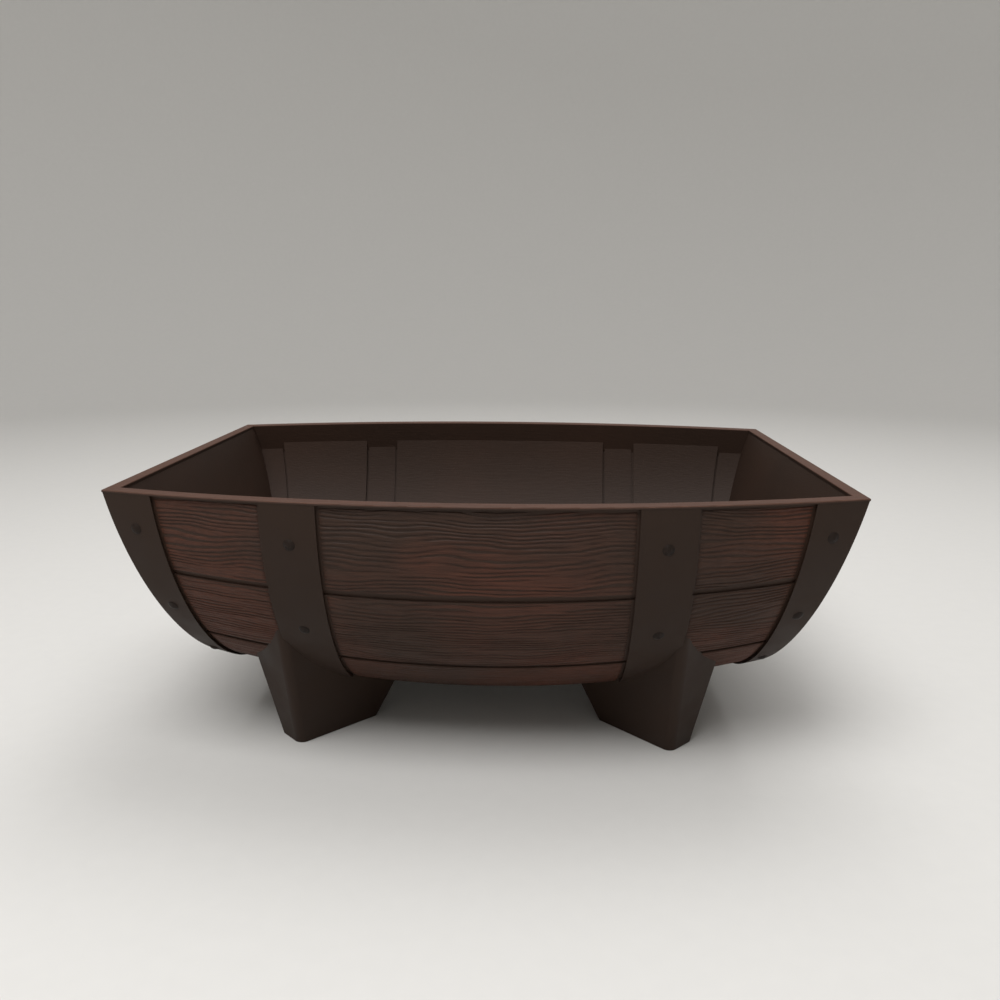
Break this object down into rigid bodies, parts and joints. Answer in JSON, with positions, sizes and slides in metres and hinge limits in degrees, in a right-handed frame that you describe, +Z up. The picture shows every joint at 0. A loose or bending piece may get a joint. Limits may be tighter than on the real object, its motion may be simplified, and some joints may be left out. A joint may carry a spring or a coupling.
{
  "type": "half barrel planter",
  "caption": "Oblong planter shaped like a barrel on its side, cut open along its length, with stave grooves, raised hoops, rivets and angled feet.",
  "frame": {"origin": "on the ground, in the middle between the four feet", "axes": "+X along the barrel towards the right end, +Y towards the rear, +Z up"},
  "size_m": [0.61, 0.458, 0.248],
  "materials": {
    "staves": "wood grain moulded in, dark reddish brown",
    "hoops": "smooth, dark greyish brown",
    "rivets": "smooth, dark greyish brown",
    "feet": "smooth, dark greyish brown",
    "screws": "plain zinc"
  },
  "bodies": {
    "root": {"tub": "staves", "hoop_left_end": "hoops", "hoop_left_inner": "hoops", "hoop_right_inner": "hoops", "hoop_right_end": "hoops", "rivets_left_end": "rivets", "rivets_left_inner": "rivets", "rivets_right_inner": "rivets", "rivets_right_end": "rivets", "leg_front_left": "feet", "leg_front_right": "feet", "leg_rear_left": "feet", "leg_rear_right": "feet", "screws_front_left": "screws", "screws_front_right": "screws", "screws_rear_left": "screws", "screws_rear_right": "screws"}
  },
  "joints": []
}
